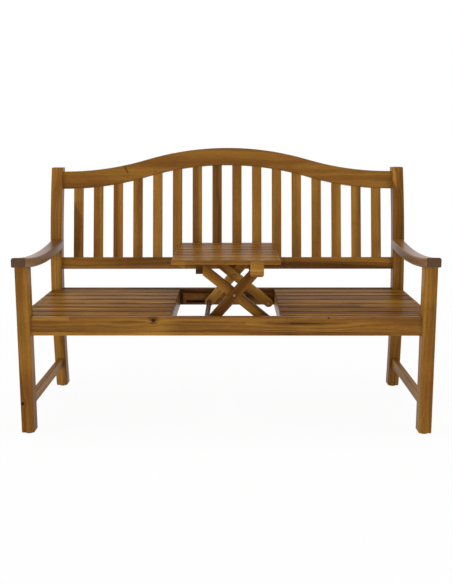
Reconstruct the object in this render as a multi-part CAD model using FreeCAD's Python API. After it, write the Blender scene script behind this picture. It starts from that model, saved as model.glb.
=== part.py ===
import FreeCAD, Part
import math
import os

Vector = FreeCAD.Vector

# Companion seat: two seats with a table between them that lifts on crossed legs.
# All sizes are in millimetres. X runs along the bench, Y to the back, Z up.
# Depths are worked out from the front face of the front legs, and each piece is
# moved at the end so that the origin is under the middle of the bench.

# Frame
width_over_legs = 1440.0
leg_width = 45.0
front_leg_depth = 48.0
post_depth = 48.0
post_height = 915.0
post_bow_height = 380.0
post_upper_radius = 1690.0
post_lower_radius = 2300.0
edge_radius = 4.0

# Feet
glide_radius = 16.0
glide_height = 5.0
glide_nail_radius = 2.0
glide_nail_length = 16.0

# Rails and stretchers
seat_height = 421.5
rail_thickness = 22.0
rail_height = 66.5
front_rail_setback = 8.0
rear_rail_setback = 15.0
rear_rail_rise = 3.0
stretcher_height = 39.0
stretcher_bottom = 88.0

# Arms
arm_width = 49.5
arm_inset = 5.0
arm_thickness = 33.0
arm_overhang = 44.0
arm_low_top = 610.0
arm_low_depth = 264.0
arm_radius = 1875.0
arm_outer_radius = 9.0
arm_inner_radius = 5.0
arm_end_radius = 2.0

# Seat slats
seat_slat_rows = 7
seat_slat_width = 60.0
seat_slat_gap = 9.0
seat_slat_thickness = 15.0
seat_slat_end_gap = 4.0
seat_slat_inset = 2.5
slat_edge_radius = 3.0
notch_clearance = 1.0

# Bearers under the seat slats
bearer_thickness = 25.0
well_width = 385.0
bearer_inset = 0.5

# Back
low_rail_height = 48.0
low_rail_centre = 527.0
crest_height = 70.3
crest_end_centre = 863.0
crest_rise = 96.4
crest_end_flat = 15.0
back_slat_pairs = 8
back_slat_width = 38.8
back_slat_end_gap = 45.2
back_slat_thickness = 14.0
back_slat_housing = 15.0
back_edge_radius = 3.0

# Joints of the frame
tenon_thickness = 10.0
tenon_length = 25.0
side_tenon_length = 18.0
tenon_shoulder = 7.0
joint_clearance = 0.1
arm_tenon_width = 24.0
arm_tenon_height = 16.0

# Table
table_lift = 192.5
table_side_gap = 3.5
table_edge_radius = 3.0
batten_width = 24.6
batten_depth = 42.0
batten_let_in = 6.0
batten_gap = 0.6
tab_width = 47.6
tab_thickness = 18.0
tab_offset = 3.5
tab_corner_radius = 9.0
front_gap = 2.5
bracket_thickness = 16.0
bracket_height = 43.0

# Crossed legs that carry the table
brace_width = 35.0
brace_thickness = 18.0
brace_edge_radius = 2.0
brace_gap = 1.0
outer_brace_gap = 1.5
frame_pivot_inset = 24.5
frame_pivot_drop = 31.2
cross_pivot_across = 29.1
cross_share = 0.5523
table_pivot_drop = 18.5
rod_end_margin = 29.4
brace_top_drop = 20.4
brace_top_gap = 0.5
pivot_radius = 4.0
running_clearance = 0.05
bolt_head_radius = 6.0
bolt_head_height = 4.0
nut_radius = 6.5
nut_height = 5.5
washer_gap = 0.3
spreader_radius = 9.5

# Blocks on the rails that guide and carry the crossed legs
block_height = 45.2
block_thickness = 20.0
block_top_gap = 0.3
guide_far_wall = 12.1
guide_near_wall = 16.2
rear_guide_clearance = 8.0
guide_slot_drop = 2.4
guide_slot_gap = 0.3
hinge_block_wall = 17.0
hinge_block_inset = 2.0
block_screw_radius = 2.0
block_screw_length = 30.0
block_screw_head_radius = 4.0
block_screw_inset = 12.0

# Dowels that fix the slats
dowel_radius = 3.0
dowel_in_slat = 9.0
dowel_in_bearer = 11.0
table_dowel_down = 5.0
table_dowel_up = 6.0
dowel_clearance = 0.05

# Places that follow from the sizes above
leg_outer = width_over_legs / 2
leg_inner = leg_outer - leg_width
leg_centre = leg_outer - leg_width / 2
arm_centre = leg_centre - arm_inset
rail_bottom = seat_height - rail_height
slat_bottom = seat_height - seat_slat_thickness
front_rail_back = front_rail_setback + rail_thickness
seat_slat_pitch = seat_slat_width + seat_slat_gap
seat_slats_depth = seat_slat_rows * seat_slat_pitch - seat_slat_gap
rear_rail_front = front_rail_back + 2 * seat_slat_end_gap + seat_slats_depth
rear_rail_back = rear_rail_front + rail_thickness
post_front = rear_rail_front - rear_rail_setback
well_half = well_width / 2
seat_end = leg_outer - seat_slat_inset
bearer_inner = well_half - bearer_inset
mid_bearer_centre = (bearer_inner + leg_centre) / 2
back_slat_pitch = (leg_inner - back_slat_end_gap - back_slat_width / 2) / (back_slat_pairs - 0.5)
table_half = well_half - table_side_gap
table_top_height = seat_height + table_lift
table_underside = table_top_height - seat_slat_thickness
table_front = front_rail_back + front_gap
block_top = slat_bottom - block_top_gap
block_bottom = block_top - block_height

# Layers of the crossed legs, from the front rail backwards and mirrored at the back
outer_brace_near = front_rail_back + block_thickness + outer_brace_gap
outer_brace_far = outer_brace_near + brace_thickness
inner_brace_near = outer_brace_far + brace_gap
inner_brace_far = inner_brace_near + brace_thickness
seat_middle = (front_rail_back + rear_rail_front) / 2

# Heights of the crossed legs' pivots with the table up
frame_pivot_across = well_half - frame_pivot_inset
frame_pivot_height = block_top - frame_pivot_drop
table_pivot_height = table_underside - table_pivot_drop
lower_rise = cross_share * (table_pivot_height - frame_pivot_height)
cross_pivot_height = frame_pivot_height + lower_rise
inner_leg_run = frame_pivot_across - cross_pivot_across
inner_leg_below = math.hypot(inner_leg_run, lower_rise)

# With the table down, level with the seat, the rod stops short of the well's side.
# That sets the length of the outer leg, and where the rod stands with the table up.
rod_down = rod_end_margin - well_half
rise_down = cross_share * (table_pivot_height - table_lift - frame_pivot_height)
cross_pivot_down = frame_pivot_across - math.sqrt(inner_leg_below ** 2 - rise_down ** 2)
outer_leg_below = math.hypot(cross_pivot_down - rod_down, rise_down)
outer_leg_run = math.sqrt(outer_leg_below ** 2 - lower_rise ** 2)
rod_across = cross_pivot_across - outer_leg_run

# Both legs keep one ratio above and below the crossing, so the table stays level
upper_share = (1 - cross_share) / cross_share
table_pivot_across = cross_pivot_across + upper_share * outer_leg_run

# The inner leg's top end comes up to the table at the left, beside a batten
brace_top_rise = table_underside - brace_top_drop - frame_pivot_height
brace_top_across = frame_pivot_across - brace_top_rise * inner_leg_run / lower_rise
batten_centre = batten_gap + batten_width / 2 - brace_top_across
tab_centre = table_pivot_across - tab_offset

# The blocks end clear of the rod's slot, of the frame's pivot and of the table's tab
slot_radius = pivot_radius + guide_slot_gap
guide_far_end = guide_far_wall + slot_radius - rod_down
front_guide_end = rod_across + slot_radius + guide_near_wall
rear_guide_end = tab_centre - tab_width / 2 - rear_guide_clearance
hinge_block_inner = frame_pivot_across - hinge_block_wall
hinge_block_outer = bearer_inner - hinge_block_inset


def post_front_at(height):
    """Depth of the post's front face: two arcs that meet where the leg is furthest forward."""
    radius = post_upper_radius if height > post_bow_height else post_lower_radius
    rise = height - post_bow_height
    return post_front + radius - math.sqrt(radius ** 2 - rise ** 2)


def post_back_at(height):
    """Depth of the post's back face, on arcs with the same centres as the front face."""
    radius = post_upper_radius if height > post_bow_height else post_lower_radius
    inner = radius - post_depth
    rise = height - post_bow_height
    return post_front + radius - math.sqrt(inner ** 2 - rise ** 2)


low_rail_depth = post_front_at(low_rail_centre) + post_depth / 2
crest_end_depth = post_front_at(crest_end_centre) + post_depth / 2
back_run = crest_end_depth - low_rail_depth
back_climb = crest_end_centre - low_rail_centre
back_rake = math.degrees(math.atan2(back_run, back_climb))
crest_end_up = math.hypot(back_run, back_climb)

# The rearmost point of the bench is on the rounded back edge of the post's top
top_edge_arc = post_upper_radius - post_depth + edge_radius
top_edge_rise = post_height - edge_radius - post_bow_height
rear_reach = post_front + post_upper_radius + edge_radius - math.sqrt(top_edge_arc ** 2 - top_edge_rise ** 2)
bench_middle = (rear_reach - arm_overhang) / 2


def save(name, shape):
    """Write one node, moved so that the origin is under the middle of the bench."""
    moved = shape.copy()
    moved.translate(Vector(0, -bench_middle, 0))
    moved.exportStep("parts/" + name + ".step")


def block(limits, gap=0.0):
    """A box from its limits in X, Y and Z, made larger all round by a gap."""
    x0, x1, y0, y1, z0, z1 = limits
    size = (x1 - x0 + 2 * gap, y1 - y0 + 2 * gap, z1 - z0 + 2 * gap)
    return Part.makeBox(*size, Vector(x0 - gap, y0 - gap, z0 - gap))


def eased(shape, radius):
    """The same solid with all its edges rounded."""
    return shape.makeFillet(radius, shape.Edges)


def mirrored(shape):
    """The same piece on the other side of the bench."""
    return shape.mirror(Vector(0, 0, 0), Vector(1, 0, 0))


def flipped(shape):
    """The same piece on the other side of the middle of the seat, front to back."""
    return shape.mirror(Vector(0, seat_middle, 0), Vector(0, 1, 0))


def round_bar(x, z, radius, y0, y1):
    """A cylinder along Y."""
    return Part.makeCylinder(radius, y1 - y0, Vector(x, y0, z), Vector(0, 1, 0))


def leant(shape):
    """Move a piece made upright at the low rail into the plane of the back."""
    placed = shape.copy()
    placed.rotate(Vector(0, 0, 0), Vector(1, 0, 0), -back_rake)
    placed.translate(Vector(0, low_rail_depth, low_rail_centre))
    return placed


def outline(edges):
    """A flat face inside a closed chain of edges."""
    return Part.Face(Part.Wire(edges))


def line(start, end):
    return Part.LineSegment(start, end).toShape()


def arc(start, middle, end):
    return Part.Arc(start, middle, end).toShape()


def post_point(function, height):
    return Vector(0, function(height), height)


def post_arc(function, start, end):
    """Part of the post's outline between two heights on one of its arcs."""
    middle = (start + end) / 2
    return arc(post_point(function, start), post_point(function, middle), post_point(function, end))


def post_blank():
    """The swept rear leg before its mortises are cut, on the right."""
    front_low = post_arc(post_front_at, glide_height, post_bow_height)
    front_high = post_arc(post_front_at, post_bow_height, post_height)
    top = line(post_point(post_front_at, post_height), post_point(post_back_at, post_height))
    back_high = post_arc(post_back_at, post_height, post_bow_height)
    back_low = post_arc(post_back_at, post_bow_height, glide_height)
    bottom = line(post_point(post_back_at, glide_height), post_point(post_front_at, glide_height))
    face = outline([front_low, front_high, top, back_high, back_low, bottom])
    blank = face.extrude(Vector(leg_width, 0, 0))
    blank.translate(Vector(leg_inner, 0, 0))
    return eased(blank, edge_radius)


def arm_point(radius, depth):
    """A point on the arm's top or underside, which are arcs with one centre above."""
    centre = arm_low_top + arm_radius
    return Vector(0, depth, centre - math.sqrt(radius ** 2 - (depth - arm_low_depth) ** 2))


def arm_blank(reach, spare=0):
    """The arm as a bent bar, on the right, up to a depth at the back and wider by a spare on both sides."""
    under = arm_radius + arm_thickness
    middle = (reach - arm_overhang) / 2
    top = arc(arm_point(arm_radius, -arm_overhang), arm_point(arm_radius, middle), arm_point(arm_radius, reach))
    back = line(arm_point(arm_radius, reach), arm_point(under, reach))
    bottom = arc(arm_point(under, reach), arm_point(under, middle), arm_point(under, -arm_overhang))
    front = line(arm_point(under, -arm_overhang), arm_point(arm_radius, -arm_overhang))
    bar = outline([top, back, bottom, front]).extrude(Vector(arm_width + 2 * spare, 0, 0))
    bar.translate(Vector(arm_centre - arm_width / 2 - spare, 0, 0))
    return bar


def arm_underside(depth):
    return arm_point(arm_radius + arm_thickness, depth).z


def arm_leg_tenon():
    """The tenon on top of the front leg, inside the arm."""
    half = arm_tenon_width / 2
    middle = front_leg_depth / 2
    top = arm_underside(middle) + arm_tenon_height
    return (leg_centre - half, leg_centre + half, middle - half, middle + half, seat_height, top)


def arm_post_tenon():
    """The tenon at the arm's back end, inside the post."""
    reach = post_front_at(arm_low_top)
    half = tenon_thickness / 2
    top = arm_point(arm_radius, reach).z - tenon_shoulder
    bottom = arm_underside(reach) + tenon_shoulder
    return (leg_centre - half, leg_centre + half, reach - tenon_length, reach + side_tenon_length, bottom, top)


def side_tenon(start, end, bottom, top):
    """A tenon along Y at the middle of a leg's width."""
    half = tenon_thickness / 2
    return (leg_centre - half, leg_centre + half, start, end, bottom + tenon_shoulder, top - tenon_shoulder)


def side_tenons(bottom, top):
    """The front and back tenons of a side rail or a stretcher."""
    back_start = post_front_at((bottom + top) / 2)
    front = side_tenon(front_leg_depth - side_tenon_length, front_leg_depth + tenon_length, bottom, top)
    back = side_tenon(back_start - tenon_length, back_start + side_tenon_length, bottom, top)
    return [front, back]


def cross_tenon(front_face):
    """A tenon along X at the end of the front or the rear rail, on the right."""
    middle = front_face + rail_thickness / 2
    half = tenon_thickness / 2
    bottom = rail_bottom + tenon_shoulder
    top = seat_height - tenon_shoulder
    return (leg_inner - tenon_length, leg_inner + tenon_length, middle - half, middle + half, bottom, top)


def leant_tenon(bottom, top):
    """A tenon at the right end of the crest or the low rail, in the plane of the back."""
    half = tenon_thickness / 2
    span = (leg_inner - tenon_length, leg_inner + tenon_length)
    return (span[0], span[1], -half, half, bottom + tenon_shoulder, top - tenon_shoulder)


def low_rail_tenon():
    return leant_tenon(-low_rail_height / 2, low_rail_height / 2)


def crest_tenon():
    return leant_tenon(crest_end_up - crest_height / 2, crest_end_up + crest_height / 2)


def glide_places():
    """The middle of each of the four feet."""
    front = front_leg_depth / 2
    rear = (post_front_at(glide_height) + post_back_at(glide_height)) / 2
    return [(side * leg_centre, depth) for side in (-1, 1) for depth in (front, rear)]


def nail_hole(x, y, gap):
    start = Vector(x, y, glide_height / 2)
    return Part.makeCylinder(glide_nail_radius + gap, glide_nail_length + gap, start)


def dowel(x, y, seam, down, up, gap=0.0):
    """A dowel across the seam between a slat and what carries it."""
    return Part.makeCylinder(dowel_radius + gap, down + up + 2 * gap, Vector(x, y, seam - down - gap))


def seat_slat_front(row):
    return front_rail_back + seat_slat_end_gap + row * seat_slat_pitch


def seat_slat_middle(row):
    return seat_slat_front(row) + seat_slat_width / 2


def seat_dowels(across, gap=0.0):
    """The dowels along one bearer."""
    rows = [seat_slat_middle(row) for row in range(seat_slat_rows)]
    return [dowel(across, y, slat_bottom, dowel_in_bearer, dowel_in_slat, gap) for y in rows]


def bearer_places():
    """The middles of the three pieces that carry the slats of the right seat."""
    return [bearer_inner + bearer_thickness / 2, mid_bearer_centre, leg_centre]


def front_leg():
    body = eased(block((leg_inner, leg_outer, 0, front_leg_depth, glide_height, arm_low_top)), edge_radius)
    body = body.cut(arm_blank(arm_low_depth, leg_width))
    body = body.fuse(block(arm_leg_tenon()))
    body = body.cut(block(cross_tenon(front_rail_setback), joint_clearance))
    for bottom, top in side_levels():
        body = body.cut(block(side_tenons(bottom, top)[0], joint_clearance))
    return body.cut(nail_hole(leg_centre, front_leg_depth / 2, joint_clearance))


def side_levels():
    """Bottom and top of the side rail and of the stretcher."""
    return [(rail_bottom, slat_bottom), (stretcher_bottom, stretcher_bottom + stretcher_height)]


def rear_post():
    body = post_blank()
    body = body.cut(block(cross_tenon(rear_rail_front), joint_clearance))
    for bottom, top in side_levels():
        body = body.cut(block(side_tenons(bottom, top)[1], joint_clearance))
    body = body.cut(block(arm_post_tenon(), joint_clearance))
    body = body.cut(leant(block(low_rail_tenon(), joint_clearance)))
    body = body.cut(leant(block(crest_tenon(), joint_clearance)))
    return body.cut(nail_hole(leg_centre, glide_places()[3][1], joint_clearance))


def follows_arm(edge, radius, reach):
    """Whether an edge lies on the arm's top or underside, the cut at the back left out."""
    middle = edge.valueAt((edge.FirstParameter + edge.LastParameter) / 2)
    return middle.y < reach - 1 and abs(middle.z - arm_point(radius, middle.y).z) < 0.01


def arm():
    reach = post_front_at(arm_low_top) + post_depth / 2
    bar = arm_blank(reach).cut(post_core())
    top, under = arm_radius, arm_radius + arm_thickness
    for curve, outer, rounding in ((top, True, arm_outer_radius), (top, False, arm_inner_radius),
                                   (under, True, edge_radius), (under, False, edge_radius)):
        along = [e for e in bar.Edges if follows_arm(e, curve, reach) and e.BoundBox.YLength > arm_low_depth]
        bar = bar.makeFillet(rounding, [e for e in along if (e.BoundBox.XMin > arm_centre) == outer])
    bar = bar.makeFillet(arm_end_radius, [e for e in bar.Edges if e.BoundBox.YMax < 0.01 - arm_overhang])
    bar = bar.fuse(block(arm_post_tenon()))
    return bar.cut(block(arm_leg_tenon(), joint_clearance))


def post_core():
    """All that lies behind the post's front face, which trims what butts against it."""
    front_low = post_arc(post_front_at, 0, post_bow_height)
    front_high = post_arc(post_front_at, post_bow_height, post_height)
    far = post_front + 4 * post_depth
    top = line(post_point(post_front_at, post_height), Vector(0, far, post_height))
    back = line(Vector(0, far, post_height), Vector(0, far, 0))
    bottom = line(Vector(0, far, 0), post_point(post_front_at, 0))
    core = outline([front_low, front_high, top, back, bottom]).extrude(Vector(3 * leg_width, 0, 0))
    core.translate(Vector(leg_inner - leg_width, 0, 0))
    return core


def side_bar(bottom, top, radius):
    """A rail along Y between a front leg and a post, with a tenon at each end."""
    half = rail_thickness / 2
    far = post_front + post_depth
    bar = block((leg_centre - half, leg_centre + half, front_leg_depth - post_depth, far, bottom, top))
    long_edges = [e for e in bar.Edges if e.BoundBox.YLength > post_depth]
    bar = bar.makeFillet(radius, long_edges)
    bar = bar.cut(block((leg_inner, leg_outer, -post_depth, front_leg_depth, 0, post_height)))
    bar = bar.cut(post_core())
    for tenon in side_tenons(bottom, top):
        bar = bar.fuse(block(tenon))
    return bar


def side_rail():
    bar = side_bar(rail_bottom, slat_bottom, slat_edge_radius)
    for hole in seat_dowels(leg_centre, dowel_clearance):
        bar = bar.cut(hole)
    return bar


def stretcher():
    return side_bar(stretcher_bottom, stretcher_bottom + stretcher_height, edge_radius)


def cross_rail(front_face, top):
    """The front or the rear rail, with a tenon at each end."""
    bar = block((-leg_inner, leg_inner, front_face, front_face + rail_thickness, rail_bottom, top))
    long_edges = [e for e in bar.Edges if e.BoundBox.XLength > leg_inner]
    bar = bar.makeFillet(slat_edge_radius, long_edges)
    tenon = block(cross_tenon(front_face))
    bar = bar.fuse(tenon).fuse(mirrored(tenon))
    for hole in block_screws(front_face < seat_middle, joint_clearance):
        bar = bar.cut(hole)
    return bar


def bearer(across):
    bottom = rail_bottom
    half = bearer_thickness / 2
    bar = block((across - half, across + half, front_rail_back, rear_rail_front, bottom, slat_bottom))
    long_edges = [e for e in bar.Edges if e.BoundBox.YLength > bearer_thickness]
    bar = bar.makeFillet(brace_edge_radius, long_edges)
    for hole in seat_dowels(across, dowel_clearance):
        bar = bar.cut(hole)
    return bar


def seat_slat(row):
    """One slat of the right seat, notched where it meets a leg."""
    start = seat_slat_front(row)
    slat = block((well_half, seat_end, start, start + seat_slat_width, slat_bottom, seat_height))
    slat = eased(slat, slat_edge_radius)
    gap = notch_clearance
    post_front_here = post_front_at(seat_height)
    leg_notch = (leg_inner - gap, leg_outer + gap, -gap, front_leg_depth + gap, rail_bottom, post_height)
    post_notch = (leg_inner - gap, leg_outer + gap, post_front_here - gap, rear_rail_back, rail_bottom, post_height)
    for notch in (leg_notch, post_notch):
        slat = slat.cut(block(notch))
    for across in bearer_places():
        slat = slat.cut(seat_dowels(across, dowel_clearance)[row])
    return slat


def crest_curve(up):
    """One edge of the crest from left to right: flat ends, hollow shoulders and a round middle."""
    run = leg_inner - crest_end_flat
    radius = (run ** 2 + crest_rise ** 2) / (4 * crest_rise)
    hollow_drop = radius - math.sqrt(radius ** 2 - (run / 4) ** 2)
    ends = Vector(leg_inner, 0, up), Vector(run, 0, up)
    shoulder = Vector(run * 0.75, 0, up + hollow_drop)
    bend = Vector(run / 2, 0, up + crest_rise / 2)
    crown = Vector(0, 0, up + crest_rise)
    left = [Vector(-p.x, 0, p.z) for p in (*ends, shoulder, bend)]
    edges = [line(left[0], left[1]), arc(left[1], left[2], left[3]), arc(left[3], crown, bend)]
    return edges + [arc(bend, shoulder, ends[1]), line(ends[1], ends[0])]


def crest_underside(across):
    """Height of the crest's lower edge above the low rail's middle, along the back's plane."""
    run = leg_inner - crest_end_flat
    radius = (run ** 2 + crest_rise ** 2) / (4 * crest_rise)
    bottom = crest_end_up - crest_height / 2
    if abs(across) < run / 2:
        return bottom + crest_rise - radius + math.sqrt(radius ** 2 - across ** 2)
    if abs(across) < run:
        return bottom + radius - math.sqrt(radius ** 2 - (run - abs(across)) ** 2)
    return bottom


def back_slat_centre(pair):
    return (pair + 0.5) * back_slat_pitch


def back_slat_limits(pair):
    """One slat of the back, right of the middle, with both ends housed in the rails."""
    middle = back_slat_centre(pair)
    half = back_slat_width / 2
    thick = back_slat_thickness / 2
    bottom = low_rail_height / 2 - back_slat_housing
    top = crest_underside(middle) + back_slat_housing
    return (middle - half, middle + half, -thick, thick, bottom, top)


def back_slat_pair(pair):
    slat = leant(eased(block(back_slat_limits(pair)), back_edge_radius))
    return Part.Compound([slat, mirrored(slat)])


def housed(rail, tenon):
    """Add the end tenons of a back rail and cut the housings of the slats."""
    rail = rail.fuse(block(tenon)).fuse(mirrored(block(tenon)))
    for pair in range(back_slat_pairs):
        pocket = block(back_slat_limits(pair), joint_clearance)
        rail = rail.cut(pocket).cut(mirrored(pocket))
    return leant(rail)


def crest_rail():
    bottom = crest_end_up - crest_height / 2
    top = crest_end_up + crest_height / 2
    lower = crest_curve(bottom)
    upper = crest_curve(top)
    ends = [line(Vector(side * leg_inner, 0, bottom), Vector(side * leg_inner, 0, top)) for side in (-1, 1)]
    face = outline(Part.__sortEdges__(lower + upper + ends))
    rail = face.extrude(Vector(0, rail_thickness, 0))
    rail.translate(Vector(0, -rail_thickness / 2, 0))
    along = [e for e in rail.Edges if e.BoundBox.XLength > 1]
    return housed(rail.makeFillet(edge_radius, along), crest_tenon())


def low_back_rail():
    half_height = low_rail_height / 2
    half = rail_thickness / 2
    rail = block((-leg_inner, leg_inner, -half, half, -half_height, half_height))
    long_edges = [e for e in rail.Edges if e.BoundBox.XLength > leg_inner]
    return housed(rail.makeFillet(back_edge_radius, long_edges), low_rail_tenon())


def tab_limits():
    half = tab_width / 2
    near = table_front
    bottom = table_underside - bracket_height
    return (tab_centre - half, tab_centre + half, near, near + tab_thickness, bottom, table_top_height)


def bracket_limits():
    """The block under the rear slat that carries the back pair's table pivot."""
    half = tab_width / 2
    far = 2 * seat_middle - table_front
    top = table_underside
    return (tab_centre - half, tab_centre + half, far - bracket_thickness, far, top - bracket_height, top)


def rounded_foot(limits, radius):
    """A board on edge with its two lower corners rounded and its edges eased."""
    board = block(limits)
    low = limits[4]
    corners = [e for e in board.Edges if e.BoundBox.YLength > 1 and e.BoundBox.ZMax < low + 1]
    board = board.makeFillet(radius, corners)
    faces = [e for e in board.Edges if e.BoundBox.YLength < 0.1 and e.BoundBox.ZMin < low + radius * 2]
    return board.makeFillet(brace_edge_radius, faces)


def table_pivot_hole(near, far, gap):
    return round_bar(table_pivot_across, table_pivot_height, pivot_radius + gap, near, far)


def table_tab():
    board = rounded_foot(tab_limits(), tab_corner_radius)
    return board.cut(pivot_pin(running_clearance))


def table_rear_bracket():
    board = rounded_foot(bracket_limits(), tab_corner_radius)
    return board.cut(flipped(pivot_pin(running_clearance)))


def pivot_pin(gap):
    """The pin that joins the tab to the outer leg, blind in the tab."""
    near = table_front + tab_thickness / 3
    return table_pivot_hole(near - gap, outer_brace_far - washer_gap + gap, gap)


def table_slat(row):
    """One slat of the table, in line with the seat slats; the first is notched for the tab."""
    start = seat_slat_front(row)
    end = start + seat_slat_width
    if row == 0:
        start = table_front
    slat = block((-table_half, table_half, start, end, table_underside, table_top_height))
    slat = eased(slat, table_edge_radius)
    if row == 0:
        slat = slat.cut(block(tab_limits(), joint_clearance))
    for across in (-batten_centre, batten_centre):
        slat = slat.cut(block(batten_tongue(across), joint_clearance))
        slat = slat.cut(table_dowel(across, row, dowel_clearance))
    return slat


def table_dowel(across, row, gap=0.0):
    seam = table_underside + batten_let_in
    return dowel(across, seat_slat_middle(row), seam, table_dowel_down, table_dowel_up, gap)


def batten_tongue(across):
    """The top of a batten, let into all the table's slats from below."""
    half = batten_width / 2
    near = table_front + tab_thickness + outer_brace_gap
    far = 2 * seat_middle - near
    return (across - half, across + half, near, far, table_underside, table_underside + batten_let_in)


def table_batten(across):
    """A bearer under the table, deep only between the crossed legs."""
    half = batten_width / 2
    near = inner_brace_far + brace_gap
    far = 2 * seat_middle - near
    top = table_underside
    bar = block((across - half, across + half, near, far, top - batten_depth, top))
    low_edges = [e for e in bar.Edges if e.BoundBox.ZMax < top - batten_depth + 1]
    bar = bar.makeFillet(brace_edge_radius, low_edges)
    bar = bar.fuse(block(batten_tongue(across)))
    for row in range(seat_slat_rows):
        bar = bar.cut(table_dowel(across, row, dowel_clearance))
    return bar


def brace_blank(low_x, low_z, high_x, high_z, near):
    """A leg with round ends between two pivots, seen from the front."""
    length = math.hypot(high_x - low_x, high_z - low_z)
    angle = math.degrees(math.atan2(high_z - low_z, high_x - low_x))
    half = brace_width / 2
    far_end = Part.makeCylinder(half, brace_thickness, Vector(length, 0, 0), Vector(0, 1, 0))
    near_end = Part.makeCylinder(half, brace_thickness, Vector(0, 0, 0), Vector(0, 1, 0))
    bar = Part.makeBox(length, brace_thickness, brace_width, Vector(0, 0, -half))
    bar = bar.fuse(near_end).fuse(far_end).removeSplitter()
    bar = bar.makeFillet(brace_edge_radius, [e for e in bar.Edges if e.BoundBox.YLength < 0.1])
    bar.rotate(Vector(0, 0, 0), Vector(0, 1, 0), -angle)
    bar.translate(Vector(low_x, near, low_z))
    return bar


def brace_hole(x, z):
    """A pivot hole that runs through both layers of the crossed legs."""
    return round_bar(x, z, pivot_radius + running_clearance, 0, seat_middle)


def outer_brace():
    """The leg from the sliding rod at the left up to the table's pivot at the right."""
    ends = (rod_across, frame_pivot_height, table_pivot_across, table_pivot_height)
    bar = brace_blank(*ends, outer_brace_near)
    for x, z in ((ends[0], ends[1]), (ends[2], ends[3]), (cross_pivot_across, cross_pivot_height)):
        bar = bar.cut(brace_hole(x, z))
    return bar


def inner_brace():
    """The leg from the frame's pivot at the right up to the underside of the table at the left."""
    reach = (frame_pivot_across - brace_top_across + brace_width) / inner_leg_run
    top_x = frame_pivot_across - inner_leg_run * reach
    top_z = frame_pivot_height + lower_rise * reach
    bar = brace_blank(frame_pivot_across, frame_pivot_height, top_x, top_z, inner_brace_near)
    ceiling = table_underside - brace_top_gap
    above = (top_x - brace_width, frame_pivot_across, 0, seat_middle, ceiling, table_top_height + brace_width * 2)
    beyond = (top_x - brace_width, brace_top_across, 0, seat_middle, frame_pivot_height, above[5])
    bar = bar.cut(block(above)).cut(block(beyond))
    for x, z in ((frame_pivot_across, frame_pivot_height), (cross_pivot_across, cross_pivot_height)):
        bar = bar.cut(brace_hole(x, z))
    return bar


def dome(x, z, radius, height, y, direction):
    """A low round bolt head that stands out along Y from a face."""
    disc = Part.makeCylinder(radius, height, Vector(x, y, z), Vector(0, direction, 0))
    outer = [e for e in disc.Edges if abs(e.BoundBox.YMax - (y + direction * height)) < 0.01
             and e.BoundBox.YLength < 0.01]
    return disc.makeFillet(height * 0.6, outer)


def hexagon(x, z, radius, height, y):
    """A nut along Y."""
    corners = [math.radians(60 * k) for k in range(7)]
    points = [Vector(x + radius * math.cos(a), y, z + radius * math.sin(a)) for a in corners]
    return outline(Part.makePolygon(points).Edges).extrude(Vector(0, height, 0))


def front_cross_bolt():
    """The bolt where the front pair of legs cross, with its nut behind them."""
    x, z = cross_pivot_across, cross_pivot_height
    face = outer_brace_near - washer_gap
    nut_face = inner_brace_far + washer_gap
    shank = round_bar(x, z, pivot_radius, face, nut_face + nut_height + 1)
    head = dome(x, z, bolt_head_radius, bolt_head_height, face, -1)
    return shank.fuse(head).fuse(hexagon(x, z, nut_radius, nut_height, nut_face))


def rear_cross_bolt():
    """The bolt where the rear pair cross, headed in front and screwed into the outer leg."""
    x, z = cross_pivot_across, cross_pivot_height
    face = 2 * seat_middle - inner_brace_far - washer_gap
    tip = 2 * seat_middle - outer_brace_near - washer_gap
    shank = round_bar(x, z, pivot_radius, face, tip)
    return shank.fuse(dome(x, z, bolt_head_radius, bolt_head_height, face, -1))


def frame_bolt():
    """The bolt that hinges the inner leg to its block, headed on the inside."""
    x, z = frame_pivot_across, frame_pivot_height
    face = inner_brace_far + washer_gap
    shank = round_bar(x, z, pivot_radius, front_rail_back + block_thickness / 4, face)
    return shank.fuse(dome(x, z, bolt_head_radius, bolt_head_height, face, 1))


def frame_spacer():
    """The sleeve that fills the outer leg's layer between the block and the inner leg."""
    near = front_rail_back + block_thickness
    far = inner_brace_near - washer_gap
    sleeve = round_bar(frame_pivot_across, frame_pivot_height, bolt_head_radius + pivot_radius, near, far)
    return sleeve.cut(brace_hole(frame_pivot_across, frame_pivot_height))


def guide(near_end):
    """A block on the front rail with a slot in which the rod slides."""
    near = front_rail_back
    far = near + block_thickness
    bar = block((-guide_far_end, near_end, near, far, block_bottom, block_top))
    long_edges = [e for e in bar.Edges if e.BoundBox.XLength > block_thickness]
    bar = bar.makeFillet(brace_edge_radius, long_edges)
    low = frame_pivot_height - pivot_radius - guide_slot_drop
    high = frame_pivot_height + slot_radius
    slot = block((rod_down - slot_radius, rod_across + slot_radius, near - 1, far + 1, low, high))
    bar = bar.cut(slot.makeFillet(slot_radius * 0.9, [e for e in slot.Edges if e.BoundBox.YLength > 1]))
    for hole in guide_screws(near_end, joint_clearance):
        bar = bar.cut(hole)
    return bar


def hinge_block():
    """The block on the front rail that holds the frame's pivot."""
    near = front_rail_back
    far = near + block_thickness
    bar = block((hinge_block_inner, hinge_block_outer, near, far, block_bottom, block_top))
    bar = bar.makeFillet(brace_edge_radius, [e for e in bar.Edges if e.BoundBox.YLength < 1])
    bar = bar.cut(round_bar(frame_pivot_across, frame_pivot_height, pivot_radius + running_clearance,
                            near + block_thickness / 4 - running_clearance, far + 1))
    for hole in hinge_screws(joint_clearance):
        bar = bar.cut(hole)
    return bar


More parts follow.
